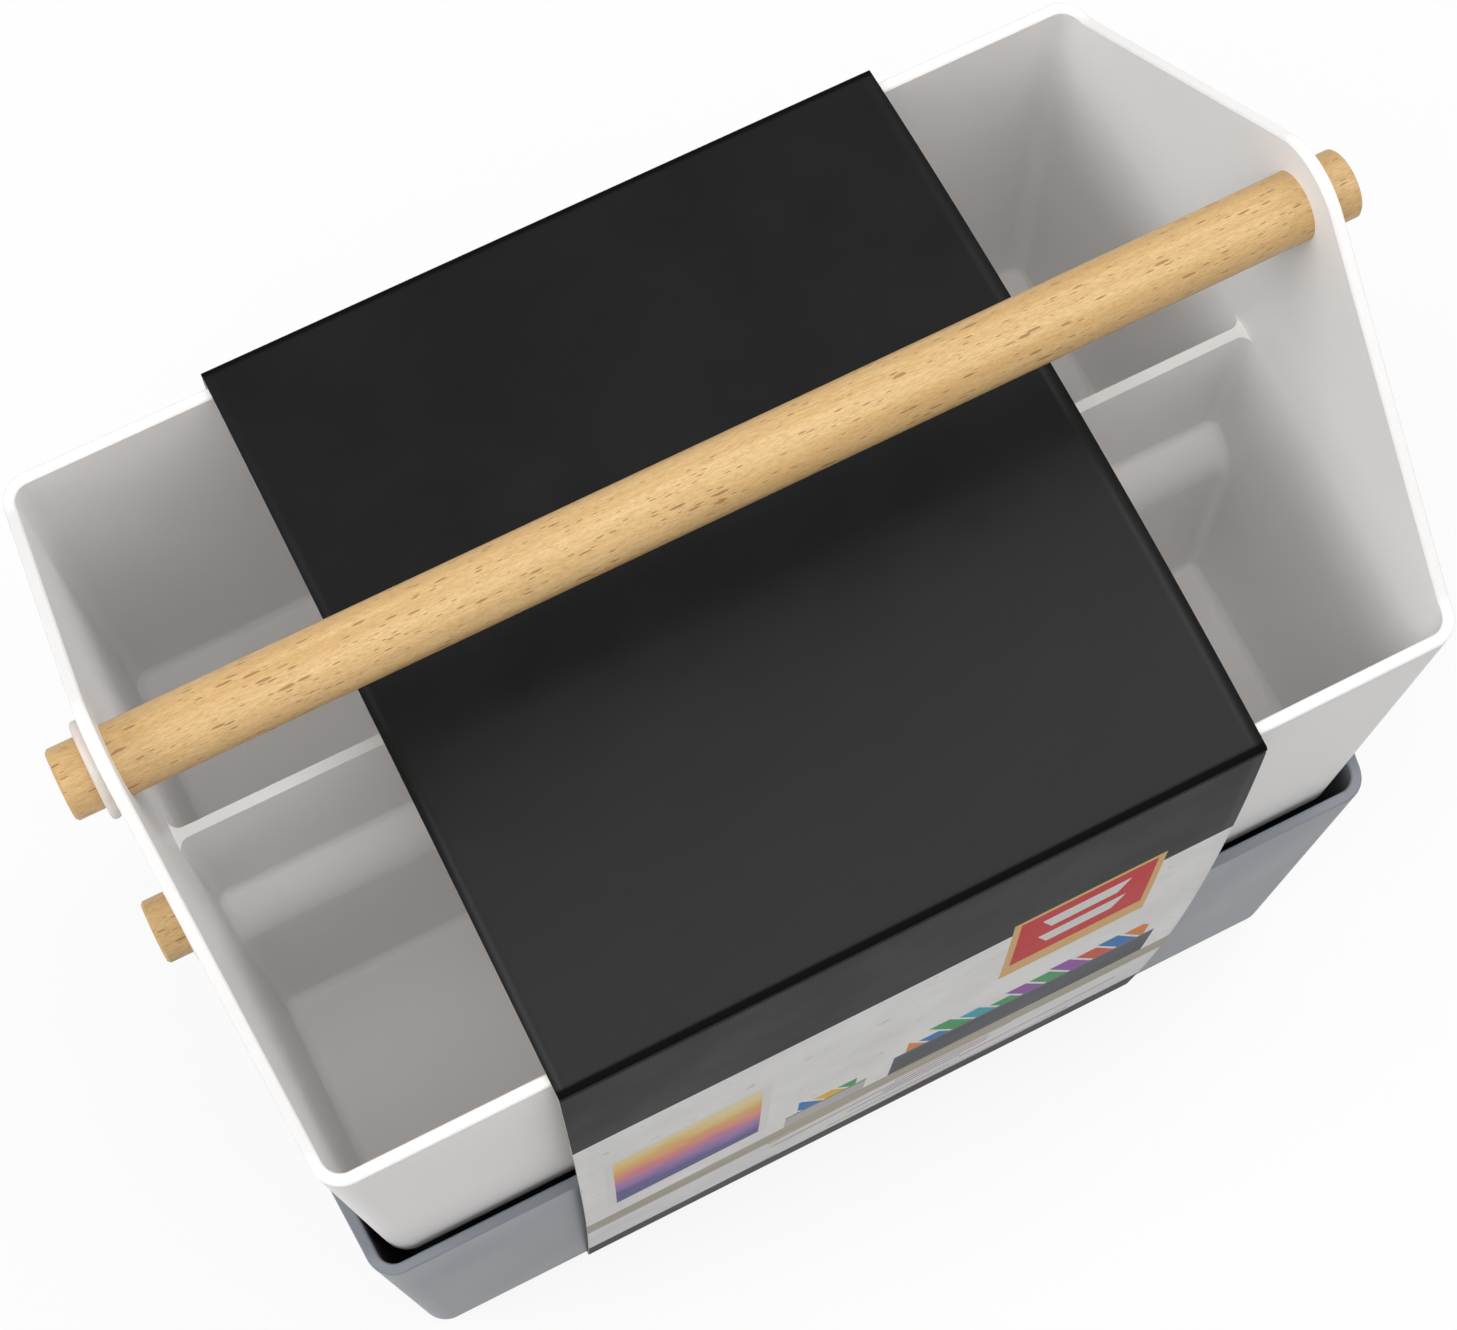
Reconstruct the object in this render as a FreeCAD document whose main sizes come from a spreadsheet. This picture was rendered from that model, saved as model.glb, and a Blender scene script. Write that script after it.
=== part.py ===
"""Pair of stacked carry-all baskets with dowel handles, held together by a card sleeve.

Row frame in millimetres: X along the handles, +Y towards the back, +Z up. The origin is on the
surface the stack stands on, under the middle of the stack. Both baskets are the same moulding.
"""
import FreeCAD, Part
import math
import os
import Sketcher
from FreeCAD import Vector

DRIVING_SIZES = (
    # alias, value, what it is
    ("rim_length", 346.0, "outside length of a basket at its rim"),
    ("rim_depth", 224.0, "outside depth of a basket at its rim"),
    ("taper", 7.0, "how far each wall leans out between the base and the rim"),
    ("rim_height", 160.0, "height of the long rims above the base"),
    ("corner", 9.0, "outside radius of the upright corners"),
    ("wall", 3.5, "wall thickness"),
    ("floor_thickness", 3.0, "floor thickness"),
    ("base_edge", 1.2, "chamfer on the edges of the underside"),
    ("rim_edge", 0.5, "chamfer on the edges of the rims and gables"),
    ("inner_fillet", 3.5, "fillet inside the compartments"),
    ("gable_rise", 61.5, "handle axis above the long rims"),
    ("gable_peak_radius", 20.8, "outside radius of the gable's peak, round the handle"),
    ("gable_inset", 3.8, "from the long side to where the gable leaves the rim"),
    ("gable_blend", 12.0, "radius between the rim and the gable's slope"),
    ("divider_top", 145.0, "top of the divider above the base"),
    ("divider_tip", 3.3, "divider thickness at its top"),
    ("divider_foot", 4.3, "divider thickness where it stands on the tunnel"),
    ("tunnel_arch", 11.3, "inside radius of the handle tunnel's arch"),
    ("tunnel_foot", 28.6, "inside width of the handle tunnel at the base"),
    ("nest_depth", 10.5, "how far the upper basket sits below the lower rim"),
    ("seat_clearance", 0.3, "between the tunnel's ceiling and the handle under it"),
    ("dowel_diameter", 20.0, "handle diameter"),
    ("dowel_overhang", 8.26, "how far the handle stands out of its stop rings"),
    ("dowel_chamfer", 0.8, "chamfer on the handle's ends"),
    ("hole_clearance", 0.05, "radial clearance of the handle in its holes"),
    ("ring_width", 2.8, "width of a stop ring along the handle"),
    ("ring_height", 3.7, "how far a stop ring stands out of the handle"),
    ("ring_gap", 0.15, "between a stop ring and the gable, at their closest"),
    ("card_thickness", 0.5, "thickness of the sleeve's card"),
    ("sleeve_width", 214.0, "width of the sleeve along X"),
    ("fold_overhang", 4.1, "inside of the sleeve's upper folds beyond the rim"),
    ("foot_overhang", 0.8, "inside of the sleeve's lower folds beyond the base"),
    ("sleeve_slack", 0.6, "inside of the upper folds above the upper rim"),
    ("top_crown", 8.0, "rise of the sleeve's top panel between its folds"),
    ("side_bulge", 5.0, "bulge of the sleeve's front and back panels"),
    ("sleeve_seat", 0.05, "between the lower base and the card it stands on"),
)

DERIVED_SIZES = (
    ("underside", "0"),
    ("handle_height", "rim_height + gable_rise"),
    ("peak_height", "handle_height + gable_peak_radius"),
    ("base_length", "rim_length - 2 * taper"),
    ("base_depth", "rim_depth - 2 * taper"),
    ("lean", "taper / rim_height"),
    ("block_height", "peak_height + wall"),
    ("block_length", "base_length + 2 * lean * block_height"),
    ("block_depth", "base_depth + 2 * lean * block_height"),
    ("floor_length", "base_length + 2 * lean * floor_thickness - 2 * wall"),
    ("floor_depth", "base_depth + 2 * lean * floor_thickness - 2 * wall"),
    ("tunnel_ceiling", "gable_rise + dowel_diameter / 2 + nest_depth + seat_clearance"),
    ("arch_height", "tunnel_ceiling - tunnel_arch"),
    ("shoulder_height", "arch_height + sqrt((tunnel_arch + wall) ^ 2 - divider_foot ^ 2 / 4)"),
    ("lower_base", "card_thickness + sleeve_seat"),
    ("upper_base", "lower_base + rim_height - nest_depth"),
    ("upper_rim", "upper_base + rim_height"),
    ("gable_face", "base_length / 2 + lean * (handle_height + dowel_diameter / 2 + ring_height)"),
    ("ring_place", "gable_face + ring_gap + ring_width / 2"),
    ("dowel_length", "2 * (ring_place + ring_width / 2 + dowel_overhang)"),
    ("fold_y", "rim_depth / 2 + fold_overhang"),
    ("foot_y", "base_depth / 2 + foot_overhang"),
    ("fold_z", "upper_rim + sleeve_slack"),
    ("crown_radius", "(fold_y * fold_y + top_crown * top_crown) / (2 * top_crown)"),
    ("side_chord", "sqrt((fold_y - foot_y) ^ 2 + (fold_z - card_thickness) ^ 2)"),
    ("bulge_radius", "(side_chord ^ 2 / 4 + side_bulge ^ 2) / (2 * side_bulge)"),
)

TOUCH = 0.01    # closer than this counts as touching when edges are picked out

doc = FreeCAD.newDocument("stacked_baskets")
sheet = doc.addObject("Spreadsheet::Sheet", "sizes")


def fill_sheet():
    """Write the driving sizes and the sizes that follow from them."""
    row = 0
    for alias, value, meaning in DRIVING_SIZES:
        row += 1
        sheet.set(f"A{row}", meaning)
        sheet.set(f"B{row}", str(value))
        sheet.setAlias(f"B{row}", alias)
    for alias, formula in DERIVED_SIZES:
        row += 1
        sheet.set(f"A{row}", "follows from the sizes above")
        sheet.set(f"B{row}", "=" + formula)
        sheet.setAlias(f"B{row}", alias)
    doc.recompute()


def size(alias):
    return float(sheet.get(alias))


def bound(expression):
    """Put the sheet's name before each of its aliases in an expression."""
    aliases = sorted((entry[0] for entry in DRIVING_SIZES + DERIVED_SIZES), key=len, reverse=True)
    words = []
    word = ""
    for letter in expression + " ":
        if letter.isalnum() or letter == "_":
            word += letter
            continue
        words.append("sizes." + word if word in aliases else word)
        words.append(letter)
        word = ""
    return "".join(words).strip()


# --- sketch helpers ---------------------------------------------------------------------------

def origin_plane(body, role):
    return next(item for item in body.Origin.OriginFeatures if item.Role == role)


def new_sketch(body, name, role):
    """A sketch on one of the body's own origin planes."""
    sketch = body.newObject("Sketcher::SketchObject", name)
    sketch.AttachmentSupport = [(origin_plane(body, role), "")]
    sketch.MapMode = "FlatFace"
    return sketch


def dimension(sketch, name, kind, *arguments):
    """Add a named dimension; the last argument is the expression it is bound to."""
    expression = arguments[-1]
    start = doc_value(expression)
    index = sketch.addConstraint(Sketcher.Constraint(kind, *arguments[:-1], start))
    sketch.renameConstraint(index, name)
    sketch.setExpression("Constraints." + name, bound(expression))


def doc_value(expression):
    """The present value of an expression in the sheet's aliases."""
    return float(sheet.evalExpression(bound(expression)))


def line(sketch, start, end):
    return sketch.addGeometry(Part.LineSegment(Vector(*start, 0), Vector(*end, 0)))


def arc(sketch, centre, radius, start_angle, end_angle):
    circle = Part.Circle(Vector(*centre, 0), Vector(0, 0, 1), radius)
    return sketch.addGeometry(Part.ArcOfCircle(circle, start_angle, end_angle))


def join(sketch, kind, *arguments):
    sketch.addConstraint(Sketcher.Constraint(kind, *arguments))


def check_sketch(sketch):
    """Every sketch has to solve and leave nothing free."""
    if sketch.solve() != 0:
        raise RuntimeError(sketch.Name + " does not solve")
    doc.recompute()
    if not sketch.FullyConstrained:
        raise RuntimeError(sketch.Name + " is not fully constrained")


def cut_through(body, name, profile):
    """Pocket a profile through everything, both ways, and see that it takes something away."""
    before = body.Shape.Volume
    pocket = body.newObject("PartDesign::Pocket", name)
    pocket.Profile = profile
    pocket.SideType = "Symmetric"
    pocket.Type = "ThroughAll"
    doc.recompute()
    if not body.Shape.Volume < before:
        raise RuntimeError(name + " cuts nothing")
    return pocket


def dress_edges(body, kind, name, amount, wanted):
    """Fillet or chamfer the edges of the body's tip that the test picks out."""
    base = body.Tip
    names = [f"Edge{number}" for number, edge in enumerate(base.Shape.Edges, 1) if wanted(edge)]
    if not names:
        raise RuntimeError(name + " finds no edge")
    feature = body.newObject("PartDesign::" + kind, name)
    feature.Base = (base, names)
    feature.setExpression("Radius" if kind == "Fillet" else "Size", bound(amount))
    doc.recompute()
    return feature


def round_profile(sketch, height, radius):
    """One circle about the origin, or up the sketch's upright axis if a height is given."""
    centre = Vector(0, doc_value(height) if height else 0, 0)
    ring = sketch.addGeometry(Part.Circle(centre, Vector(0, 0, 1), doc_value(radius)))
    if height:
        join(sketch, "PointOnObject", ring, 3, -2)
        dimension(sketch, "height", "DistanceY", -1, 1, ring, 3, height)
    else:
        join(sketch, "Coincident", ring, 3, -1, 1)
    dimension(sketch, "radius", "Radius", ring, radius)
    check_sketch(sketch)


# --- the basket -------------------------------------------------------------------------------

def block(body, name, foot, head, corner):
    """A block with leaning sides and rounded upright corners: (height, length, depth) each end."""
    wedge = body.newObject("PartDesign::AdditiveWedge", name)
    wedge.AttachmentSupport = [(origin_plane(body, "XZ_Plane"), "")]
    wedge.MapMode = "FlatFace"
    for prefix, (height, length, depth), end in (("", foot, "Ymin"), ("2", head, "Ymax")):
        wedge.setExpression(end, bound(height))
        wedge.setExpression(f"X{prefix}min", bound(f"-({length}) / 2"))
        wedge.setExpression(f"X{prefix}max", bound(f"({length}) / 2"))
        wedge.setExpression(f"Z{prefix}min", bound(f"-({depth}) / 2"))
        wedge.setExpression(f"Z{prefix}max", bound(f"({depth}) / 2"))
    doc.recompute()
    dress_edges(body, "Fillet", name + "_corners", corner,
                lambda edge: edge.BoundBox.ZLength > TOUCH)


def gable_outline(sketch):
    """Everything above the rims, the gables' slopes and the round peaks."""
    rim = size("rim_height")
    peak = size("gable_peak_radius")
    blend = size("gable_blend")
    foot = size("rim_depth") / 2 - size("gable_inset")
    rise = size("gable_rise")
    reach = math.hypot(foot, rise - blend)
    slope = math.atan2(rise - blend, foot) + math.asin((peak + blend) / reach)
    side = size("block_depth")
    top = size("block_height") + peak
    normal = (math.sin(slope), math.cos(slope))
    right_rim = line(sketch, (side, rim), (foot, rim))
    low = (foot - blend * normal[0], rim + blend * (1 - normal[1]))
    high = (peak * normal[0], rim + rise + peak * normal[1])
    right_blend = arc(sketch, (foot, rim + blend), blend, -math.pi / 2 - slope, -math.pi / 2)
    right_slope = line(sketch, low, high)
    crown = arc(sketch, (0, rim + rise), peak, math.pi / 2 - slope, math.pi / 2 + slope)
    left_slope = line(sketch, (-high[0], high[1]), (-low[0], low[1]))
    left_blend = arc(sketch, (-foot, rim + blend), blend, -math.pi / 2, -math.pi / 2 + slope)
    left_rim = line(sketch, (-foot, rim), (-side, rim))
    left_edge = line(sketch, (-side, rim), (-side, top))
    top_edge = line(sketch, (-side, top), (side, top))
    right_edge = line(sketch, (side, top), (side, rim))
    join(sketch, "Tangent", right_rim, 2, right_blend, 2)
    join(sketch, "Tangent", right_blend, 1, right_slope, 1)
    join(sketch, "Tangent", right_slope, 2, crown, 1)
    join(sketch, "Tangent", crown, 2, left_slope, 1)
    join(sketch, "Tangent", left_slope, 2, left_blend, 2)
    join(sketch, "Tangent", left_blend, 1, left_rim, 1)
    for first, second in ((left_rim, left_edge), (left_edge, top_edge), (top_edge, right_edge),
                          (right_edge, right_rim)):
        join(sketch, "Coincident", first, 2, second, 1)
    for flat in (right_rim, left_rim, top_edge):
        join(sketch, "Horizontal", flat)
    for upright in (left_edge, right_edge):
        join(sketch, "Vertical", upright)
    join(sketch, "PointOnObject", crown, 3, -2)
    join(sketch, "Symmetric", left_rim, 2, right_rim, 1, -2)
    join(sketch, "Symmetric", left_blend, 3, right_blend, 3, -2)
    dimension(sketch, "rim", "DistanceY", -1, 1, right_rim, 1, "rim_height")
    dimension(sketch, "foot", "DistanceX", -1, 1, right_rim, 2, "rim_depth / 2 - gable_inset")
    dimension(sketch, "rise", "DistanceY", -1, 1, crown, 3, "handle_height")
    dimension(sketch, "peak", "Radius", crown, "gable_peak_radius")
    dimension(sketch, "blend", "Radius", right_blend, "gable_blend")
    dimension(sketch, "side", "DistanceX", -1, 1, right_rim, 1, "block_depth")
    dimension(sketch, "top", "DistanceY", -1, 1, top_edge, 1, "block_height + gable_peak_radius")
    check_sketch(sketch)


def arch_angle(foot, height, radius):
    """Angle of the point where a line from (foot, 0) meets an arch about (0, height)."""
    reach = math.hypot(foot, height)
    return math.acos(radius / reach) - math.atan2(height, foot)


def tunnel_hollow(sketch):
    """The arched space under the basket that takes the lower handle."""
    radius = size("tunnel_arch")
    height = size("arch_height")
    foot = size("tunnel_foot") / 2
    angle = arch_angle(foot, height, radius)
    spring = (radius * math.cos(angle), height + radius * math.sin(angle))
    base = line(sketch, (-foot, 0), (foot, 0))
    right = line(sketch, (foot, 0), spring)
    crown = arc(sketch, (0, height), radius, angle, math.pi - angle)
    left = line(sketch, (-spring[0], spring[1]), (-foot, 0))
    join(sketch, "Coincident", base, 2, right, 1)
    join(sketch, "Tangent", right, 2, crown, 1)
    join(sketch, "Tangent", crown, 2, left, 1)
    join(sketch, "Coincident", left, 2, base, 1)
    join(sketch, "Symmetric", base, 1, base, 2, -1, 1)
    join(sketch, "Horizontal", base)
    join(sketch, "PointOnObject", crown, 3, -2)
    dimension(sketch, "foot", "DistanceX", base, 1, base, 2, "tunnel_foot")
    dimension(sketch, "height", "DistanceY", -1, 1, crown, 3, "arch_height")
    dimension(sketch, "arch", "Radius", crown, "tunnel_arch")
    check_sketch(sketch)


def partition_outline(sketch):
    """Tunnel walls with the divider standing on them, as seen from one end."""
    radius = size("tunnel_arch") + size("wall")
    height = size("arch_height")
    foot = size("tunnel_foot") / 2 + size("wall")
    tip = size("divider_tip") / 2
    root = size("divider_foot") / 2
    top = size("divider_top")
    angle = arch_angle(foot, height, radius)
    spring = (radius * math.cos(angle), height + radius * math.sin(angle))
    shoulder_angle = math.acos(root / radius)
    shoulder = (root, height + radius * math.sin(shoulder_angle))
    base = line(sketch, (-foot, 0), (foot, 0))
    right = line(sketch, (foot, 0), spring)
    right_arch = arc(sketch, (0, height), radius, angle, shoulder_angle)
    right_face = line(sketch, shoulder, (tip, top))
    crest = line(sketch, (tip, top), (-tip, top))
    left_face = line(sketch, (-tip, top), (-root, shoulder[1]))
    left_arch = arc(sketch, (0, height), radius, math.pi - shoulder_angle, math.pi - angle)
    left = line(sketch, (-spring[0], spring[1]), (-foot, 0))
    join(sketch, "Coincident", base, 2, right, 1)
    join(sketch, "Tangent", right, 2, right_arch, 1)
    join(sketch, "Coincident", right_arch, 2, right_face, 1)
    join(sketch, "Coincident", right_face, 2, crest, 1)
    join(sketch, "Coincident", crest, 2, left_face, 1)
    join(sketch, "Coincident", left_face, 2, left_arch, 1)
    join(sketch, "Tangent", left_arch, 2, left, 1)
    join(sketch, "Coincident", left, 2, base, 1)
    join(sketch, "Horizontal", base)
    join(sketch, "Symmetric", base, 1, base, 2, -1, 1)
    join(sketch, "Symmetric", crest, 1, crest, 2, -2)
    join(sketch, "Symmetric", right_face, 1, left_face, 2, -2)
    join(sketch, "Coincident", right_arch, 3, left_arch, 3)
    join(sketch, "PointOnObject", right_arch, 3, -2)
    dimension(sketch, "foot", "DistanceX", base, 1, base, 2, "tunnel_foot + 2 * wall")
    dimension(sketch, "height", "DistanceY", -1, 1, right_arch, 3, "arch_height")
    dimension(sketch, "arch", "Radius", right_arch, "tunnel_arch + wall")
    dimension(sketch, "tip", "DistanceX", crest, 2, crest, 1, "divider_tip")
    dimension(sketch, "root", "DistanceX", left_face, 2, right_face, 1, "divider_foot")
    dimension(sketch, "top", "DistanceY", -1, 1, crest, 1, "divider_top")
    check_sketch(sketch)


def cavity(label):
    """The space inside a basket: one drafted block, parted by the tunnel and the divider."""
    body = doc.addObject("PartDesign::Body", label)
    foot = ("floor_thickness", "floor_length", "floor_depth")
    head = ("block_height", "block_length - 2 * wall", "block_depth - 2 * wall")
    block(body, label + "_space", foot, head, "corner - wall")
    outline = new_sketch(body, label + "_partition", "YZ_Plane")
    partition_outline(outline)
    cut_through(body, label + "_parting", outline)
    floor = size("floor_thickness")
    shoulder = size("shoulder_height")
    reach = size("tunnel_foot") / 2 + size("wall") + TOUCH

    def inner_corner(edge):
        """Floor edges, the partition's edges at the end walls, and the feet of the divider."""
        box = edge.BoundBox
        if box.ZMax < floor + TOUCH:
            return True
        if max(abs(box.YMin), abs(box.YMax)) > reach:
            return False
        if box.XLength > size("floor_length") / 2:
            return abs(box.ZMin - shoulder) < TOUCH and abs(box.ZMax - shoulder) < TOUCH
        return box.ZLength > TOUCH

    dress_edges(body, "Fillet", label + "_fillets", "inner_fillet", inner_corner)
    return body


def basket(label, base_height):
    """One moulding: drafted walls, gabled ends, divider, handle tunnel and handle holes."""
    space = cavity(label + "_cavity")
    body = doc.addObject("PartDesign::Body", label)
    foot = ("underside", "base_length", "base_depth")
    head = ("block_height", "block_length", "block_depth")
    block(body, label + "_block", foot, head, "corner")
    hollow = body.newObject("PartDesign::Boolean", label + "_hollow")
    hollow.setObjects([space])
    hollow.Type = "Cut"
    doc.recompute()
    outline = new_sketch(body, label + "_gables", "YZ_Plane")
    gable_outline(outline)
    cut_through(body, label + "_gable_cut", outline)
    rim = size("rim_height")
    dress_edges(body, "Chamfer", label + "_rim_edges", "rim_edge",
                lambda edge: edge.BoundBox.ZMin > rim - TOUCH)
    tunnel = new_sketch(body, label + "_tunnel", "YZ_Plane")
    tunnel_hollow(tunnel)
    cut_through(body, label + "_tunnel_cut", tunnel)
    dress_edges(body, "Chamfer", label + "_base_edges", "base_edge",
                lambda edge: edge.BoundBox.ZMax < TOUCH)
    hole = new_sketch(body, label + "_hole", "YZ_Plane")
    round_profile(hole, "handle_height", "dowel_diameter / 2 + hole_clearance")
    cut_through(body, label + "_hole_cut", hole)
    body.setExpression("Placement.Base.z", bound(base_height))
    return body


# --- handles and stop rings -------------------------------------------------------------------

def handle(label, base_height):
    """A dowel along X with chamfered ends."""
    body = doc.addObject("PartDesign::Body", label)
    profile = new_sketch(body, label + "_round", "YZ_Plane")
    round_profile(profile, None, "dowel_diameter / 2")
    pad = body.newObject("PartDesign::Pad", label + "_dowel")
    pad.Profile = profile
    pad.SideType = "Symmetric"
    pad.setExpression("Length", bound("dowel_length"))
    doc.recompute()
    dress_edges(body, "Chamfer", label + "_ends", "dowel_chamfer",
                lambda edge: edge.BoundBox.XLength < TOUCH)
    body.setExpression("Placement.Base.z", bound(base_height + " + handle_height"))
    return body


def ring_section(sketch):
    """Half section of a stop ring: a rectangle standing on the handle."""
    half = size("ring_width") / 2
    bore = size("dowel_diameter") / 2
    outside = bore + size("ring_height")
    corners = ((half, bore), (-half, bore), (-half, outside), (half, outside))
    sides = [line(sketch, corners[turn], corners[(turn + 1) % 4]) for turn in range(4)]
    for turn in range(4):
        join(sketch, "Coincident", sides[turn], 2, sides[(turn + 1) % 4], 1)
    for upright in (sides[1], sides[3]):
        join(sketch, "Vertical", upright)
    join(sketch, "Horizontal", sides[2])
    join(sketch, "Symmetric", sides[0], 1, sides[0], 2, -2)
    dimension(sketch, "width", "DistanceX", sides[0], 2, sides[0], 1, "ring_width")
    dimension(sketch, "bore", "DistanceY", -1, 1, sides[0], 1, "dowel_diameter / 2")
    dimension(sketch, "stand", "DistanceY", sides[0], 2, sides[2], 1, "ring_height")
    check_sketch(sketch)


def stop_ring(label, side, base_height):
    """A ring round the handle, outside the gable on one side (-1 left, 1 right)."""
    body = doc.addObject("PartDesign::Body", label)
    section = new_sketch(body, label + "_section", "XY_Plane")
    ring_section(section)
    turn = body.newObject("PartDesign::Revolution", label + "_turn")
    turn.Profile = section
    turn.ReferenceAxis = (section, ["H_Axis"])
    turn.Angle = 360
    doc.recompute()
    body.setExpression("Placement.Base.x", bound(f"{side} * ring_place"))
    body.setExpression("Placement.Base.z", bound(base_height + " + handle_height"))
    return body


# --- the card sleeve --------------------------------------------------------------------------

def sleeve_loop(sketch):
    """Inside of the sleeve seen from one end: flat bottom, bulging sides and crowned top."""
    low = size("card_thickness")
    high = size("fold_z")
    foot = size("foot_y")
    fold = size("fold_y")
    crown = size("crown_radius")
    bulge = size("bulge_radius")
    lean = math.atan2(fold - foot, high - low)
    swing = math.asin(size("side_chord") / 2 / bulge)
    middle = ((foot + fold) / 2, (low + high) / 2)
    inward = bulge * math.cos(swing)
    centre = (middle[0] - inward * math.cos(lean), middle[1] + inward * math.sin(lean))
    turn = math.asin(fold / crown)
    bottom = line(sketch, (-foot, low), (foot, low))
    right = arc(sketch, centre, bulge, -lean - swing, -lean + swing)
    top = arc(sketch, (0, high - crown * math.cos(turn)), crown, math.pi / 2 - turn,
              math.pi / 2 + turn)
    left = arc(sketch, (-centre[0], centre[1]), bulge, math.pi + lean - swing,
               math.pi + lean + swing)
    join(sketch, "Coincident", bottom, 2, right, 1)
    join(sketch, "Coincident", right, 2, top, 1)
    join(sketch, "Coincident", top, 2, left, 1)
    join(sketch, "Coincident", left, 2, bottom, 1)
    join(sketch, "Symmetric", bottom, 1, bottom, 2, -2)
    join(sketch, "Symmetric", top, 1, top, 2, -2)
    join(sketch, "PointOnObject", top, 3, -2)
    join(sketch, "Equal", right, left)
    dimension(sketch, "low", "DistanceY", -1, 1, bottom, 2, "card_thickness")
    dimension(sketch, "foot", "DistanceX", -1, 1, bottom, 2, "foot_y")
    dimension(sketch, "high", "DistanceY", -1, 1, top, 1, "fold_z")
    dimension(sketch, "fold", "DistanceX", -1, 1, top, 1, "fold_y")
    dimension(sketch, "crown", "Radius", top, "crown_radius")
    dimension(sketch, "bulge", "Radius", right, "bulge_radius")
    check_sketch(sketch)


def sleeve(label):
    """Card wrapped once round both baskets, open at both ends."""
    body = doc.addObject("PartDesign::Body", label)
    loop = new_sketch(body, label + "_loop", "YZ_Plane")
    sleeve_loop(loop)
    core = body.newObject("PartDesign::Pad", label + "_core")
    core.Profile = loop
    core.SideType = "Symmetric"
    core.setExpression("Length", bound("sleeve_width"))
    doc.recompute()
    card = body.newObject("PartDesign::Thickness", label + "_card")
    ends = [f"Face{number}" for number, face in enumerate(core.Shape.Faces, 1)
            if face.BoundBox.XLength < TOUCH]
    card.Base = (core, ends)
    card.Join = "Arc"
    card.Reversed = False
    card.setExpression("Value", bound("card_thickness"))
    doc.recompute()
    return body


fill_sheet()
pieces = [sleeve("card_sleeve")]
for level in ("lower", "upper"):
    base = level + "_base"
    pieces.append(basket(level + "_basket", base))
    pieces.append(handle(level + "_handle", base))
    pieces.append(stop_ring(level + "_ring_left", -1, base))
    pieces.append(stop_ring(level + "_ring_right", 1, base))
doc.recompute()

for item in doc.Objects:
    if "Invalid" in item.State or "Error" in item.State:
        raise RuntimeError(item.Label + " did not build")
for piece in pieces:
    if piece.Shape.isNull() or not piece.Shape.isValid() or len(piece.Shape.Solids) != 1:
        raise RuntimeError(piece.Label + " is not one sound solid")

os.makedirs("parts", exist_ok=True)
for piece in pieces:
    piece.Shape.exportStep("parts/" + piece.Label + ".step")
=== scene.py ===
import math

import bmesh
import bpy
from mathutils import Matrix, Vector


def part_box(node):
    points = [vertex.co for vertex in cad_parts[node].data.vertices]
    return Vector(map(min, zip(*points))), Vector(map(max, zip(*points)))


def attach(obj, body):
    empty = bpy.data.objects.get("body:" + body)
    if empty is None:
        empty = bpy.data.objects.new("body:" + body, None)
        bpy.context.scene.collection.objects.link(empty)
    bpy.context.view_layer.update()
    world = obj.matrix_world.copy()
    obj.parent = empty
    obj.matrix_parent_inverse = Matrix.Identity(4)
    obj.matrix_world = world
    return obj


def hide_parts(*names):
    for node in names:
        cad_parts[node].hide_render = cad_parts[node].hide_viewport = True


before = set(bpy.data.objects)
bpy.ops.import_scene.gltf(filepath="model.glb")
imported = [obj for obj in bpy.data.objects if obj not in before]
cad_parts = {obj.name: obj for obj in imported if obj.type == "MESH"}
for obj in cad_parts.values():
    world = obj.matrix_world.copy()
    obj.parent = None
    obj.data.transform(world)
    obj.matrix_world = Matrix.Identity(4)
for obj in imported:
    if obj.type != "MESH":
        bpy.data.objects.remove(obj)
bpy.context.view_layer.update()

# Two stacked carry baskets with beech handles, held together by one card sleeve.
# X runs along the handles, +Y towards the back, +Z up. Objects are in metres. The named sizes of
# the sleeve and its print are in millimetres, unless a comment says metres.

MM = 0.001

# the card sleeve
CARD = 0.5            # thickness of the card
WIDTH = 214           # along X
LOW = CARD            # top of the bottom panel
FOOT_Y = 105.8        # inside of the lower folds, from the middle
FOLD_Y = 116.1        # inside of the upper folds, from the middle
FOLD_Z = 310.65       # underside of the upper folds
CROWN = 8.0           # rise of the top panel between its folds
BULGE = 5.0           # bulge of the front and back panels
FOLD_RADIUS = 0.9
SCORE_Z = 308.2       # middle of the scored line under each upper fold
SCORE_WIDTH = 1.9
SCORE_DEPTH = 0.22
LAP = 28              # height of the glued lap on the back panel
LAP_LOW = 34          # lower end of the lap

# widths of the rounded edges, and how near vertices are joined before rounding, in metres
BASKET_EDGE = 0.00035
HANDLE_EDGE = 0.0003
RING_EDGE = 0.0012
WELD_DISTANCE = 0.000005
SHARP_ANGLE = math.radians(28)

# --- node helpers -----------------------------------------------------------------------------

# sockets of a Mix node that mixes colours
MIX_FACTOR, MIX_UNDER, MIX_OVER, MIX_COLOUR = 0, 6, 7, 2


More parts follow.
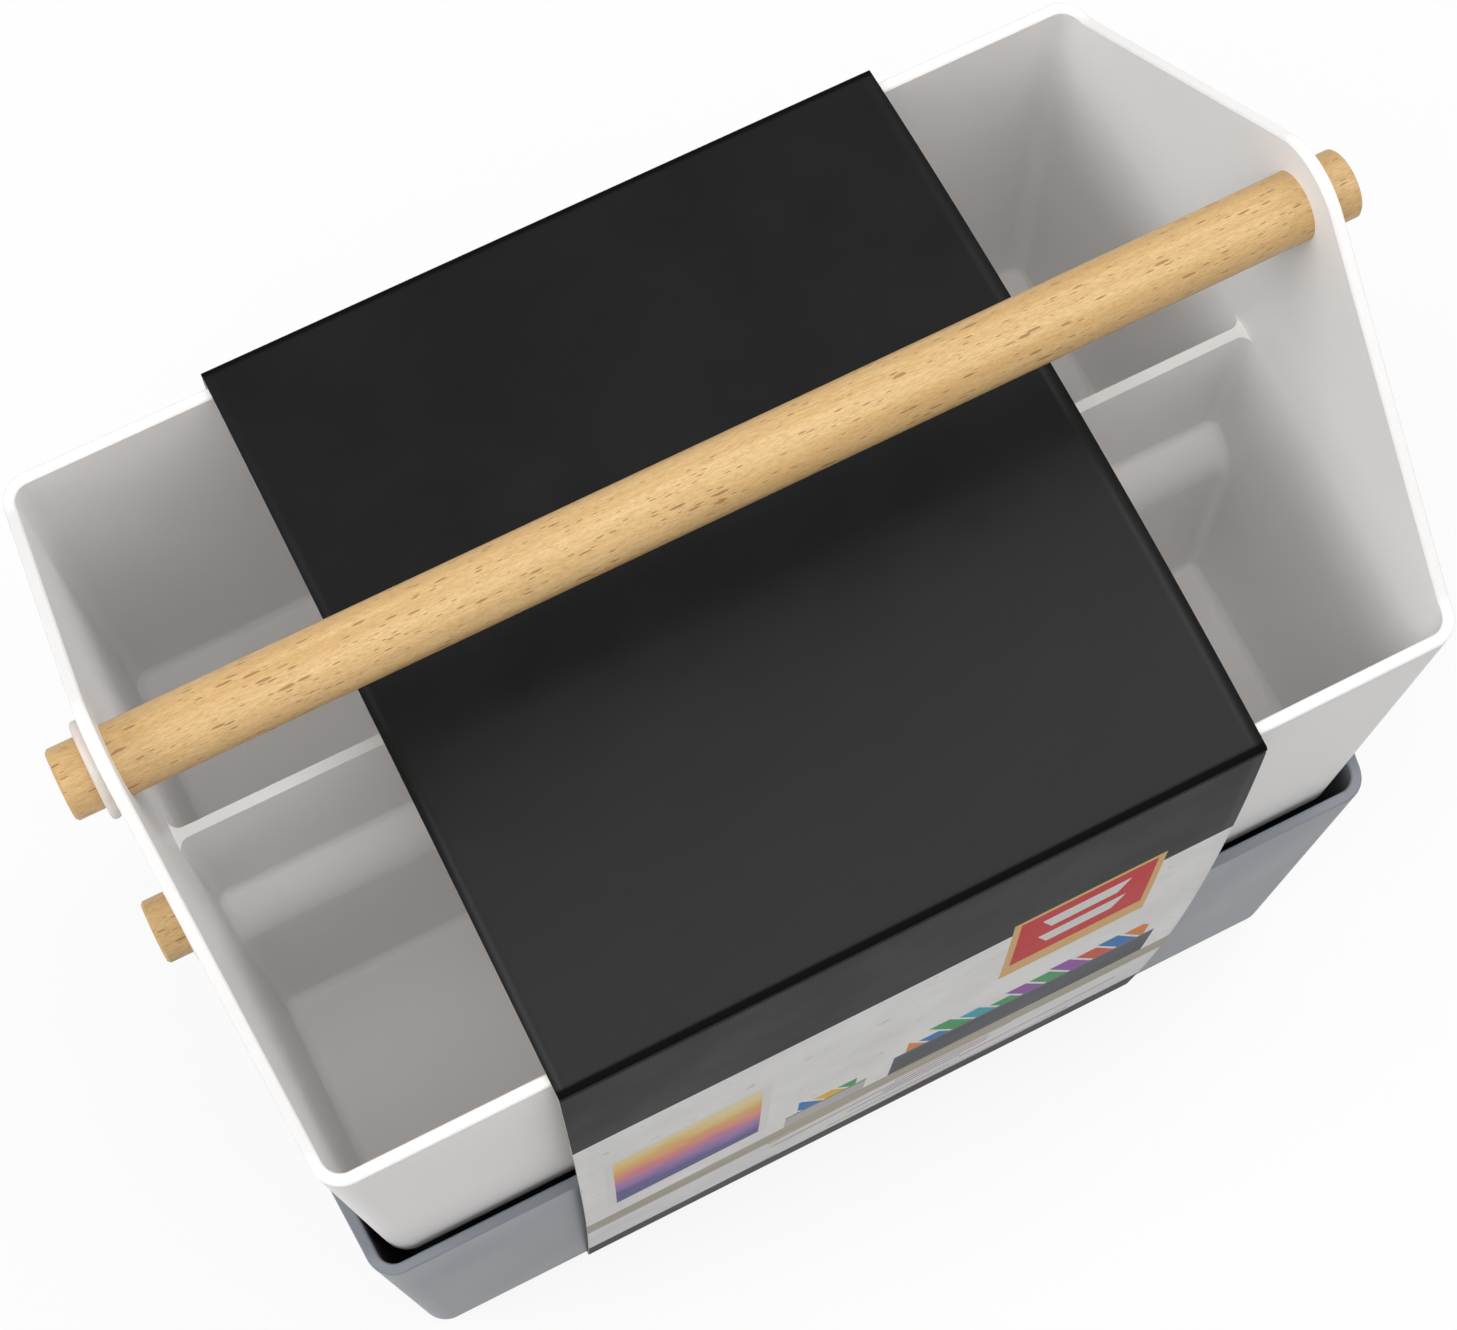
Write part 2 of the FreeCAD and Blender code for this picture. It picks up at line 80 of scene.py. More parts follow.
class Surface:
    """A material and the few node operations that its pattern needs."""

    def __init__(self, name, roughness, specular):
        self.material = bpy.data.materials.new(name)
        self.material.use_nodes = True
        self.tree = self.material.node_tree
        self.shader = self.tree.nodes["Principled BSDF"]
        self.shader.inputs["Roughness"].default_value = roughness
        self.shader.inputs["Specular IOR Level"].default_value = specular
        self.place = self.add("ShaderNodeTexCoord").outputs["Object"]
        self.facing = self.place.node.outputs["Normal"]
        self.bump = None

    def add(self, kind, **settings):
        node = self.tree.nodes.new(kind)
        for key, value in settings.items():
            setattr(node, key, value)
        return node

    def feed(self, socket, value):
        """Join a socket to another one, or set it."""
        if isinstance(value, bpy.types.NodeSocket):
            self.tree.links.new(value, socket)
        else:
            socket.default_value = value

    def math(self, operation, *values):
        node = self.add("ShaderNodeMath", operation=operation)
        for socket, value in zip(node.inputs, values):
            self.feed(socket, value)
        return node.outputs[0]

    def axes(self, vector):
        node = self.add("ShaderNodeSeparateXYZ")
        self.feed(node.inputs[0], vector)
        return node.outputs[0], node.outputs[1], node.outputs[2]

    def distance(self, a, b):
        """Length of the vector (a, b)."""
        squares = (self.math("MULTIPLY", a, a), self.math("MULTIPLY", b, b))
        return self.math("SQRT", self.math("ADD", *squares))

    def stretched(self, scale, offset=(0, 0, 0)):
        """Object coordinates less an offset, then scaled."""
        less = self.add("ShaderNodeVectorMath", operation="SUBTRACT")
        self.feed(less.inputs[0], self.place)
        less.inputs[1].default_value = offset
        times = self.add("ShaderNodeVectorMath", operation="MULTIPLY")
        self.feed(times.inputs[0], less.outputs[0])
        times.inputs[1].default_value = scale
        return times.outputs[0]

    def noise(self, scale, vector=None, detail=3, rough=0.5, warp=0):
        """Noise of so many features per metre, or per unit of the given vector."""
        node = self.add("ShaderNodeTexNoise")
        self.feed(node.inputs["Vector"], self.place if vector is None else vector)
        node.inputs["Scale"].default_value = scale
        node.inputs["Detail"].default_value = detail
        node.inputs["Roughness"].default_value = rough
        node.inputs["Distortion"].default_value = warp
        return node.outputs["Fac"]

    def grain(self, scale, offset=(0, 0, 0), detail=3, rough=0.5, warp=0):
        """Noise with its own number of features per metre along each axis."""
        return self.noise(1, self.stretched(scale, offset), detail, rough, warp)

    def chance(self, value):
        """White noise that is the same wherever the value is."""
        node = self.add("ShaderNodeTexWhiteNoise", noise_dimensions="1D")
        self.feed(node.inputs["W"], value)
        return node

    def span(self, value, low, high, start=0, end=1, smooth=False):
        """Value from low..high taken to start..end."""
        node = self.add("ShaderNodeMapRange", clamp=True)
        if smooth:
            node.interpolation_type = "SMOOTHSTEP"
        for socket, entry in zip(node.inputs, (value, low, high, start, end)):
            self.feed(socket, entry)
        return node.outputs[0]

    def mix(self, share, under, over):
        node = self.add("ShaderNodeMix", data_type="RGBA")
        for index, entry in ((MIX_FACTOR, share), (MIX_UNDER, under), (MIX_OVER, over)):
            if isinstance(entry, tuple):
                entry = (*entry, 1)
            self.feed(node.inputs[index], entry)
        return node.outputs[MIX_COLOUR]

    def ramp(self, value, stops, interpolation="LINEAR"):
        node = self.add("ShaderNodeValToRGB")
        node.color_ramp.interpolation = interpolation
        points = node.color_ramp.elements
        while len(points) < len(stops):
            points.new(0.5)
        for point, (position, colour) in zip(points, stops):
            point.position = position
            point.color = (*colour, 1)
        self.feed(node.inputs[0], value)
        return node.outputs[0]

    def patch(self, x, z, left, right, bottom, top):
        """1 inside a rectangle given in millimetres, 0 outside."""
        masks = []
        for value, low, high in ((x, left, right), (z, bottom, top)):
            masks.append(self.math("COMPARE", value, (low + high) / 2 * MM,
                                   (high - low) / 2 * MM))
        return self.math("MULTIPLY", *masks)

    def relief(self, height, depth):
        """Lay a bump of this depth in metres on top of what is there."""
        node = self.add("ShaderNodeBump")
        node.inputs["Strength"].default_value = 1
        node.inputs["Distance"].default_value = depth
        self.feed(node.inputs["Height"], height)
        if self.bump is not None:
            self.feed(node.inputs["Normal"], self.bump)
        self.bump = node.outputs[0]
        self.feed(self.shader.inputs["Normal"], self.bump)

    def finish(self, colour, roughness=None):
        self.feed(self.shader.inputs["Base Color"], colour)
        if roughness is not None:
            self.feed(self.shader.inputs["Roughness"], roughness)
        return self.material


# --- plastic, wood and rubber -----------------------------------------------------------------

WHITE_PALE, WHITE_DEEP = (0.977, 0.960, 0.948), (0.965, 0.945, 0.932)
SLATE_PALE, SLATE_DEEP = (0.275, 0.295, 0.33), (0.25, 0.268, 0.302)


def moulded_plastic(name, pale, deep, roughness):
    """Injection-moulded satin plastic: faint flow clouds, fine spark texture."""
    s = Surface(name, roughness, specular=0.42)
    clouds = s.noise(14, detail=4, warp=0.6)
    colour = s.mix(s.span(clouds, 0.35, 0.65), deep, pale)
    specks = s.noise(2600, detail=2)
    colour = s.mix(s.span(specks, 0.2, 0.8, 0, 0.06), colour, deep)
    s.relief(s.noise(1500, rough=0.6), depth=0.00002)
    s.relief(s.noise(22, detail=2), depth=0.00025)
    return s.finish(colour, s.span(clouds, 0.3, 0.7, roughness - 0.05, roughness + 0.06))


BEECH_PALE = (0.80, 0.56, 0.275)
BEECH_WARM = (0.63, 0.39, 0.155)
BEECH_FIBRE = (0.44, 0.245, 0.088)
BEECH_BROWN = (0.27, 0.12, 0.036)
SAWN_PALE = (0.82, 0.60, 0.31)
SAWN_WARM = (0.60, 0.375, 0.15)
# cells per metre along and across the grain, share of cells without a fleck, shift along X
FLECKS = ((145, 900, 0.85, 0.0), (290, 2000, 0.84, 0.37))
FLECK_SMALL, FLECK_LARGE = 0.2, 0.42    # reach of a fleck, as a share of its cell
FLECK_EDGE = 0.09                       # its soft edge, likewise
HEART_Y, HEART_Z = 0.019, 0.012         # the tree's heart, seen from the dowel's axis, in metres
YEARS = 620                             # growth rings per metre
YEAR_WOBBLE = 0.0012                    # metres
RAYS = 260                              # rays all round the heart
END_FACING = 0.85                       # a normal at least this far along X is a sawn end


def beech_flecks(s, offset):
    """1 on the short flecks of two sizes, 0 between them."""
    flecks = None
    for length, girth, bare, shift in FLECKS:
        cells = s.add("ShaderNodeTexVoronoi", feature="F1", distance="EUCLIDEAN")
        place = (offset[0] + shift, offset[1], offset[2])
        s.feed(cells.inputs["Vector"], s.stretched((length, girth, girth), place))
        cells.inputs["Scale"].default_value = 1
        draw = s.add("ShaderNodeTexWhiteNoise", noise_dimensions="3D")
        s.feed(draw.inputs["Vector"], cells.outputs["Position"])
        chosen = s.math("GREATER_THAN", draw.outputs["Value"], bare)
        size = s.span(draw.outputs["Value"], bare, 1, FLECK_SMALL, FLECK_LARGE)
        reach = s.math("MULTIPLY", chosen, size)
        fleck = s.span(s.math("SUBTRACT", reach, cells.outputs["Distance"]), 0, FLECK_EDGE)
        flecks = fleck if flecks is None else s.math("MAXIMUM", flecks, fleck)
    return flecks


def sawn_end(s, centre_z):
    """Growth rings about a heart beside the dowel, and rays across them."""
    y, z = s.axes(s.stretched((1, 1, 1), (0, HEART_Y, centre_z - HEART_Z)))[1:]
    wobble = s.math("MULTIPLY", s.noise(160, detail=2), YEAR_WOBBLE)
    radius = s.math("ADD", s.distance(y, z), wobble)
    rings = s.math("FRACT", s.math("MULTIPLY", radius, YEARS))
    colour = s.mix(s.span(rings, 0.55, 1, 0, 0.6), SAWN_PALE, SAWN_WARM)
    rays = s.math("SINE", s.math("MULTIPLY", s.math("ARCTAN2", y, z), RAYS))
    return s.mix(s.span(rays, 0.8, 1, 0, 0.35), colour, BEECH_BROWN)


def beech(name, centre_z, shift):
    """Waxed beech with its grain along X, short brown flecks and end grain on the cuts."""
    s = Surface(name, roughness=0.4, specular=0.45)
    offset = (shift, 0.0, centre_z)
    bands = s.grain((5, 150, 150), offset, detail=5, rough=0.6, warp=0.7)
    streaks = s.grain((14, 620, 620), offset, detail=4, rough=0.6, warp=0.3)
    fibres = s.grain((380, 2700, 2700), offset, detail=4, rough=0.75)
    colour = s.mix(s.span(bands, 0.3, 0.72), BEECH_PALE, BEECH_WARM)
    colour = s.mix(s.span(streaks, 0.42, 0.72, 0, 0.55), colour, BEECH_WARM)
    colour = s.mix(s.span(fibres, 0.44, 0.62, 0, 0.5), colour, BEECH_FIBRE)
    flecks = beech_flecks(s, offset)
    colour = s.mix(s.math("MULTIPLY", flecks, 0.7), colour, BEECH_BROWN)
    along = s.math("ABSOLUTE", s.axes(s.facing)[0])
    cut = s.math("GREATER_THAN", along, END_FACING)
    colour = s.mix(cut, colour, sawn_end(s, centre_z))
    s.relief(fibres, depth=0.00005)
    s.relief(streaks, depth=0.00006)
    s.relief(flecks, depth=-0.00005)
    return s.finish(colour, s.span(bands, 0.3, 0.7, 0.34, 0.5))


RUBBER_DEEP = (0.74, 0.675, 0.615)
RUBBER_PALE = (0.80, 0.75, 0.70)
RUBBER_DEPTH = 0.0022                   # how far light gets in, in metres


def soft_rubber(name):
    """Milky silicone: light passes a little way in, with a faint moulding haze."""
    s = Surface(name, roughness=0.42, specular=0.4)
    s.shader.inputs["Subsurface Weight"].default_value = 0.55
    s.shader.inputs["Subsurface Radius"].default_value = (1.0, 0.62, 0.48)
    s.shader.inputs["Subsurface Scale"].default_value = RUBBER_DEPTH
    haze = s.noise(180)
    s.relief(s.noise(1400, detail=2), depth=0.00002)
    colour = s.mix(s.span(haze, 0.35, 0.65), RUBBER_DEEP, RUBBER_PALE)
    return s.finish(colour, s.span(haze, 0.3, 0.7, 0.36, 0.5))


# --- the sleeve's card and its print ----------------------------------------------------------

BLACK_INK = (0.0072, 0.0070, 0.0072)
BLACK_DEEP = (0.0048, 0.0047, 0.0048)
# painted shade: the black ink made darker in the creases of the top folds
CREASE_SHADE_INK = (0.004, 0.004, 0.004)
CRUSHED_SPECULAR = 0.11
CREASE_DARK = 1.2      # painted shade and matt, crushed ink reach this far from a top fold, and fade out here
CREASE_END = 2.7       # and fades out here
CARD_IOR = 1.38

# the front panel's print: left, right, bottom and top, in millimetres
ACROSS = (-108, 108)
FOOT_BLACK = (*ACROSS, -1, 27)
PAPERS = (*ACROSS, 27, 78)
TABLE = (*ACROSS, 78, 98)
TOP_BLACK = (*ACROSS, 238.5, 320)
BOARD = (-99, -43, 117, 199)
BOARD_PICTURE = (-96, -46, 120, 196)
LABEL = (34, 84, 184, 249)
LABEL_FIELD = (36.5, 81.5, 197, 246)
# the two pale shapes on the label, wider at the top
SHAPE_LOWS = (208, 226)
SHAPE_HEIGHT = 11
SHAPE_MIDDLE = 0.059                    # metres along X
SHAPE_HALF = 0.011                      # metres, half the width at the foot
SHAPE_LEAN = 0.35
# the board's blended colours
BLEND_LOW, BLEND_HIGH = 0.132, 0.192    # metres up
BLEND_RIPPLE = 0.024                    # metres
BLEND_TILT = 0.16
# the chalks, in metres where they are lengths
CHALKS_PER_METRE = 118
CHALK_START = 0.04                      # a chalk begins here along X, at the foot
CHALK_LEAN = 0.45
CHALK_SHARE = 0.86                      # of the room that each chalk has in its row
CHALK_SPREAD = 0.016                    # between the shortest and the tallest
CHALK_SHUFFLE = 7                       # draws a height from the number that draws the colour
CHALK_RISE = 10                         # millimetres that the shortest stands above its tray
CHALK_ROOM = 30                         # millimetres above a tray that the chalks keep to
CHALK_INSET = 4                         # millimetres that they keep from a tray's ends
TRAY_LIP = 3                            # millimetres
# left, right and rim of a tray on the table, and the colours of its side and its rim
TRAYS = ((2, 96, 132, (0.075, 0.078, 0.092), (0.16, 0.165, 0.19)),
         (-36, -7, 118, (0.55, 0.54, 0.53), (0.30, 0.30, 0.31)))

# the thin coloured lines on the papers, in metres where they are lengths
LINES_PER_METRE = 150
LINE_SLOPE = 0.09
LINE_FROM = 0.72                        # share of each line's room that stays paper
LINE_PLACES = 0.15                      # how far along X the lines' middles are spread
LINE_SHORT, LINE_MORE = 0.012, 0.035    # half of the shortest line, and the most that is added

WALL_PALE, WALL_GREY, WALL_CHIP = (0.97, 0.96, 0.945), (0.86, 0.85, 0.835), (0.45, 0.44, 0.43)
BOARD_PALE = (0.86, 0.85, 0.83)
TABLE_PALE, TABLE_BROWN = (0.56, 0.51, 0.42), (0.42, 0.375, 0.29)
PAPER_PALE, PAPER_GREY = (0.92, 0.91, 0.90), (0.78, 0.77, 0.77)
TAN = (0.80, 0.50, 0.205)
LABEL_RED = (0.66, 0.035, 0.04)
LABEL_PALE = (0.83, 0.82, 0.80)
SUNSET = (
    (0.0, (0.13, 0.11, 0.30)), (0.25, (0.40, 0.22, 0.50)), (0.45, (0.78, 0.26, 0.34)),
    (0.62, (0.90, 0.40, 0.22)), (0.8, (0.93, 0.62, 0.20)), (1.0, (0.95, 0.80, 0.46)))
CHALKS = (
    (0.0, (0.03, 0.20, 0.52)), (0.16, (0.85, 0.55, 0.03)), (0.32, (0.70, 0.10, 0.05)),
    (0.48, (0.05, 0.36, 0.12)), (0.62, (0.32, 0.09, 0.42)), (0.78, (0.80, 0.26, 0.05)),
    (0.9, (0.05, 0.42, 0.50)))
PENCIL_LINES = (
    (0.0, (0.45, 0.16, 0.13)), (0.3, (0.22, 0.26, 0.48)), (0.55, (0.52, 0.38, 0.20)),
    (0.8, (0.30, 0.17, 0.36)))


def printed_card(name):
    s = Surface(name, roughness=0.55, specular=0.3)
    s.shader.inputs["IOR"].default_value = CARD_IOR
    return s


def card_skin(s):
    """Fibres and very slight waviness of a laminated card."""
    s.relief(s.grain((900, 1300, 1300), rough=0.6), depth=0.000012)
    s.relief(s.noise(19, detail=2), depth=0.0006)


def creased(s, colour, roughness, specular):
    """Matt ink along the two top folds, where bending has crushed the gloss, and painted shade:
    the ink made darker in the creases.
    """
    y, z = s.axes(s.place)[1:]
    aside = s.math("SUBTRACT", s.math("ABSOLUTE", y), (FOLD_Y + CARD / 2) * MM)
    above = s.math("SUBTRACT", z, (FOLD_Z + CARD / 2) * MM)
    away = s.distance(aside, above)
    crease = s.span(away, CREASE_DARK * MM, CREASE_END * MM, 1, 0, smooth=True)
    # painted shade: darker ink in the creases of the top folds
    colour = s.mix(crease, colour, CREASE_SHADE_INK)
    gloss = s.span(crease, 0, 1, specular, CRUSHED_SPECULAR)
    s.feed(s.shader.inputs["Specular IOR Level"], gloss)
    return colour, s.math("MAXIMUM", roughness, s.math("MULTIPLY", crease, 0.9))


def black_card(name):
    s = printed_card(name)
    clouds = s.noise(30, detail=4)
    scuffs = s.grain((60, 420, 420), detail=4, rough=0.7, warp=1.2)
    colour = s.mix(s.span(clouds, 0.3, 0.7), BLACK_DEEP, BLACK_INK)
    card_skin(s)
    worn = s.span(scuffs, 0.6, 0.8, 0, 0.09)
    sheen = s.math("ADD", s.span(clouds, 0.3, 0.7, 0.36, 0.42), worn)
    return s.finish(*creased(s, colour, sheen, specular=0.38))


def pale_wall(s, x, z, grime):
    """A chipped pale wall, with a board of blended warm colours leaning on it."""
    chips = s.grain((95, 95, 150), rough=0.7)
    colour = s.mix(s.span(grime, 0.35, 0.7), WALL_PALE, WALL_GREY)
    colour = s.mix(s.span(chips, 0.66, 0.7, 0, 0.5), colour, WALL_CHIP)
    ripple = s.math("MULTIPLY", s.noise(60, detail=4, rough=0.6), BLEND_RIPPLE)
    height = s.math("ADD", z, s.math("ADD", ripple, s.math("MULTIPLY", x, BLEND_TILT)))
    blend = s.ramp(s.span(height, BLEND_LOW, BLEND_HIGH), SUNSET)
    colour = s.mix(s.patch(x, z, *BOARD), colour, BOARD_PALE)
    return s.mix(s.patch(x, z, *BOARD_PICTURE), colour, blend)


def chalk_trays(s, x, z, colour):
    """A dark and a pale tray, with a row of coloured chalks standing in each."""
    slant = s.math("ADD", x, s.math("MULTIPLY", z, CHALK_LEAN))
    row = s.math("MULTIPLY", s.math("SUBTRACT", slant, CHALK_START), CHALKS_PER_METRE)
    draw = s.chance(s.math("FLOOR", row)).outputs["Value"]
    chalk = s.ramp(draw, CHALKS, "CONSTANT")
    height = s.math("FRACT", s.math("MULTIPLY", draw, CHALK_SHUFFLE))
    tops = s.math("MULTIPLY", height, CHALK_SPREAD)
    solid = s.math("LESS_THAN", s.math("FRACT", row), CHALK_SHARE)
    table_top = TABLE[3]
    for left, right, rim, side, edge in TRAYS:
        below_top = s.math("LESS_THAN", z, s.math("ADD", tops, (rim + CHALK_RISE) * MM))
        shown = s.math("MULTIPLY", below_top, solid)
        room = s.patch(x, z, left + CHALK_INSET, right - CHALK_INSET,
                       rim - 2 * TRAY_LIP, rim + CHALK_ROOM)
        colour = s.mix(s.math("MULTIPLY", room, shown), colour, chalk)
        colour = s.mix(s.patch(x, z, left, right, table_top, rim), colour, side)
        colour = s.mix(s.patch(x, z, left, right, rim - TRAY_LIP, rim), colour, edge)
    return colour


def table_and_papers(s, x, z, grime, colour):
    """The table's edge, and sheets of paper with thin coloured lines lying on it."""
    boards = s.grain((14, 14, 320), detail=4)
    table = s.mix(s.span(boards, 0.3, 0.7), TABLE_PALE, TABLE_BROWN)
    colour = s.mix(s.patch(x, z, *TABLE), colour, table)
    paper = s.mix(s.span(grime, 0.3, 0.7), PAPER_PALE, PAPER_GREY)
    sloped = s.math("SUBTRACT", z, s.math("MULTIPLY", x, LINE_SLOPE))
    run = s.math("MULTIPLY", sloped, LINES_PER_METRE)
    thin = s.math("GREATER_THAN", s.math("FRACT", run), LINE_FROM)
    draws = s.axes(s.chance(s.math("FLOOR", run)).outputs["Color"])
    middle = s.math("SUBTRACT", s.math("MULTIPLY", draws[0], LINE_PLACES), LINE_PLACES / 2)
    reach = s.math("ADD", s.math("MULTIPLY", draws[1], LINE_MORE), LINE_SHORT)
    near = s.math("LESS_THAN", s.math("ABSOLUTE", s.math("SUBTRACT", x, middle)), reach)
    lines = s.ramp(draws[2], PENCIL_LINES, "CONSTANT")
    paper = s.mix(s.math("MULTIPLY", thin, near), paper, lines)
    return s.mix(s.patch(x, z, *PAPERS), colour, paper)


def plain_label(s, x, z, colour):
    """Tan border, red field and two plain pale shapes, without any lettering."""
    colour = s.mix(s.patch(x, z, *LABEL), colour, TAN)
    colour = s.mix(s.patch(x, z, *LABEL_FIELD), colour, LABEL_RED)
    left, right = LABEL_FIELD[:2]
    across = s.math("ABSOLUTE", s.math("SUBTRACT", x, SHAPE_MIDDLE))
    for low in SHAPE_LOWS:
        lean = s.math("MULTIPLY", s.math("SUBTRACT", z, low * MM), SHAPE_LEAN)
        inside = s.math("LESS_THAN", across, s.math("ADD", lean, SHAPE_HALF))
        band = s.patch(x, z, left, right, low, low + SHAPE_HEIGHT)
        colour = s.mix(s.math("MULTIPLY", inside, band), colour, LABEL_PALE)
    return colour


def front_card(name):
    """The front panel: black above and below, a generic still life between, one label."""
    s = printed_card(name)
    x, _, z = s.axes(s.place)
    grime = s.noise(26, detail=5, rough=0.6)
    colour = pale_wall(s, x, z, grime)
    colour = chalk_trays(s, x, z, colour)
    colour = table_and_papers(s, x, z, grime, colour)
    for field in (TOP_BLACK, FOOT_BLACK):
        colour = s.mix(s.patch(x, z, *field), colour, BLACK_INK)
    colour = plain_label(s, x, z, colour)
    card_skin(s)
    sheen = s.span(grime, 0.3, 0.7, 0.52, 0.6)
    return s.finish(*creased(s, colour, sheen, specular=0.2))


def raw_board(name, pale, deep):
    """Unprinted side or cut edge of the card."""
    s = Surface(name, roughness=0.85, specular=0.2)
    fibre = s.grain((260, 900, 900), detail=5, rough=0.7, warp=0.5)
    s.relief(fibre, depth=0.00005)
    return s.finish(s.mix(s.span(fibre, 0.3, 0.7), pale, deep))


# --- the CAD nodes that stay ------------------------------------------------------------------

def dress(node_name, material, round_over):
    """Give a CAD node its material, and break its sharp edges as the real ones are broken."""
    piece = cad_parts[node_name]
    if not piece.data.materials:
        piece.data.materials.append(material)
    for index in range(len(piece.data.materials)):
        piece.data.materials[index] = material
    weld = piece.modifiers.new("weld", "WELD")
    weld.merge_threshold = WELD_DISTANCE
    bevel = piece.modifiers.new("round_over", "BEVEL")
    bevel.width = round_over
    bevel.segments = 3
    bevel.limit_method = "ANGLE"
    bevel.angle_limit = SHARP_ANGLE
    bevel.use_clamp_overlap = True
    normal = piece.modifiers.new("even_shading", "WEIGHTED_NORMAL")
    normal.keep_sharp = False
    normal.weight = 100


white = moulded_plastic("white_moulding", WHITE_PALE, WHITE_DEEP, roughness=0.44)
slate = moulded_plastic("slate_moulding", SLATE_PALE, SLATE_DEEP, roughness=0.42)
rubber = soft_rubber("milky_rubber")

dress("upper_basket", white, BASKET_EDGE)
dress("lower_basket", slate, BASKET_EDGE)
# the second number shifts the grain along X, in metres, so that the two handles differ
for level, grain_shift in (("lower", 0.31), ("upper", 0.0)):
    handle = level + "_handle"
    axis_z = sum(corner.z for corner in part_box(handle)) / 2
    dress(handle, beech(level + "_beech", axis_z, grain_shift), HANDLE_EDGE)
    for side in ("left", "right"):
        dress(f"{level}_ring_{side}", rubber, RING_EDGE)

# --- the card sleeve --------------------------------------------------------------------------

COLUMNS = 48           # faces across the sleeve's width
UPRIGHT_STEPS = 44     # rows of faces in each panel and in each fold
BOTTOM_STEPS = 12
TOP_STEPS = 40
FOLD_STEPS = 7
SCORE_STEP = SCORE_WIDTH / 8
SCORE_REACH = 6        # steps each side of the scored line
LAP_PLAY = 0.03        # left for the glue between the lap's two layers
TUCK_LOW = 8           # the lap's inner layer starts to move in at this height,
TUCK_RUN = 18          # and is one card thickness in after this much more
# slow waves in the upright panels
WAVE_DEPTH = 0.22
WAVE_LOW = 30
WAVE_TOP = FOLD_Z - 12
WAVE_FADE = 60
WAVE_ALONG = 31
WAVE_UP = 47


def bowed(start, end, rise, count, near=()):
    """Points on a shallow arc, bowed to the left of its run by rise.

    Each distance in near adds a point that far before the end.
    """
    (ya, za), (yb, zb) = start, end
    length = math.hypot(yb - ya, zb - za)
    left = (-(zb - za) / length, (yb - ya) / length)
    radius = (length * length / 4 + rise * rise) / (2 * abs(rise)) if rise else 0
    points = []
    shares = {number / count for number in range(count + 1)}
    shares |= {1 - distance / length for distance in near}
    for share in sorted(shares):
        along = (share - 0.5) * length
        lift = math.sqrt(radius * radius - along * along) - (radius - abs(rise)) if rise else 0
        lift = math.copysign(lift, rise)
        points.append((ya + (yb - ya) * share + left[0] * lift,
                       za + (zb - za) * share + left[1] * lift))
    return points


def fillet(before, corner, after, radius):
    """Short rounded fold in place of a corner, between two neighbouring points."""
    def towards(other):
        run = Vector((other[0] - corner[0], other[1] - corner[1]))
        return run.normalized()
    a, b = towards(before), towards(after)
    half = a.angle(b) / 2
    reach = radius / math.tan(half)
    centre = Vector(corner) + (a + b).normalized() * (radius / math.sin(half))
    first = Vector(corner) + a * reach
    last = Vector(corner) + b * reach
    start = math.atan2(first.y - centre.y, first.x - centre.x)
    turn = math.atan2(last.y - centre.y, last.x - centre.x) - start
    turn = (turn + math.pi) % (2 * math.pi) - math.pi
    angles = [start + turn * step / FOLD_STEPS for step in range(FOLD_STEPS + 1)]
    return [(centre.x + radius * math.cos(angle), centre.y + radius * math.sin(angle))
            for angle in angles]


def middle_line():
    """The card's middle layer as (y, z) points, and the number of the last one in the lap.

    It starts at the lap's inner end, low on the back (y > 0), and goes down, under the stack, up
    the front, over the top and down the back to the lap's outer end.
    """
    half = CARD / 2
    back_foot, front_foot = (FOOT_Y + half, LOW - half), (-FOOT_Y - half, LOW - half)
    back_fold, front_fold = (FOLD_Y + half, FOLD_Z + half), (-FOLD_Y - half, FOLD_Z + half)
    score = [FOLD_Z - SCORE_Z + half + step * SCORE_STEP
             for step in range(-SCORE_REACH, SCORE_REACH + 1)]
    back = bowed(back_foot, back_fold, -BULGE, UPRIGHT_STEPS, score)
    bottom = bowed(back_foot, front_foot, 0, BOTTOM_STEPS)
    front = bowed(front_foot, front_fold, BULGE, UPRIGHT_STEPS, score)
    top = bowed(front_fold, back_fold, CROWN, TOP_STEPS)
    points = [point for point in reversed(back) if point[1] < LAP_LOW + LAP]
    inner = len(points) - 1
    for panel in (bottom, front, top, list(reversed(back))):
        rounded = fillet(points[-2], points[-1], panel[1], FOLD_RADIUS)
        points = points[:-1] + rounded + panel[1:]
    while points[-1][1] < LAP_LOW:
        points.pop()
    return points, inner


def tucked(line, inner):
    """The same line, with the lap's inner layer one card thickness further in."""
    points = []
    for number, (y, z) in enumerate(line):
        depth = 0
        if number <= inner and y > 0:
            depth = (CARD + LAP_PLAY) * min(1, max(0, (z - TUCK_LOW) / TUCK_RUN))
        points.append((y - depth, z))
    return points


def dent(x, z, wavy):
    """How far the card lies inside its line: slow waves, and the score under the top folds."""
    depth = 0.0
    if wavy and WAVE_LOW < z < WAVE_TOP:
        fade = min(1, (z - WAVE_LOW) / WAVE_FADE, (WAVE_TOP - z) / WAVE_FADE)
        depth = fade * WAVE_DEPTH * (1 + math.sin(x / WAVE_ALONG + z / WAVE_UP)) * 0.5
    across = (z - SCORE_Z) / SCORE_WIDTH
    if abs(across) < 0.5:
        depth += SCORE_DEPTH * math.cos(across * math.pi) ** 2
    return depth


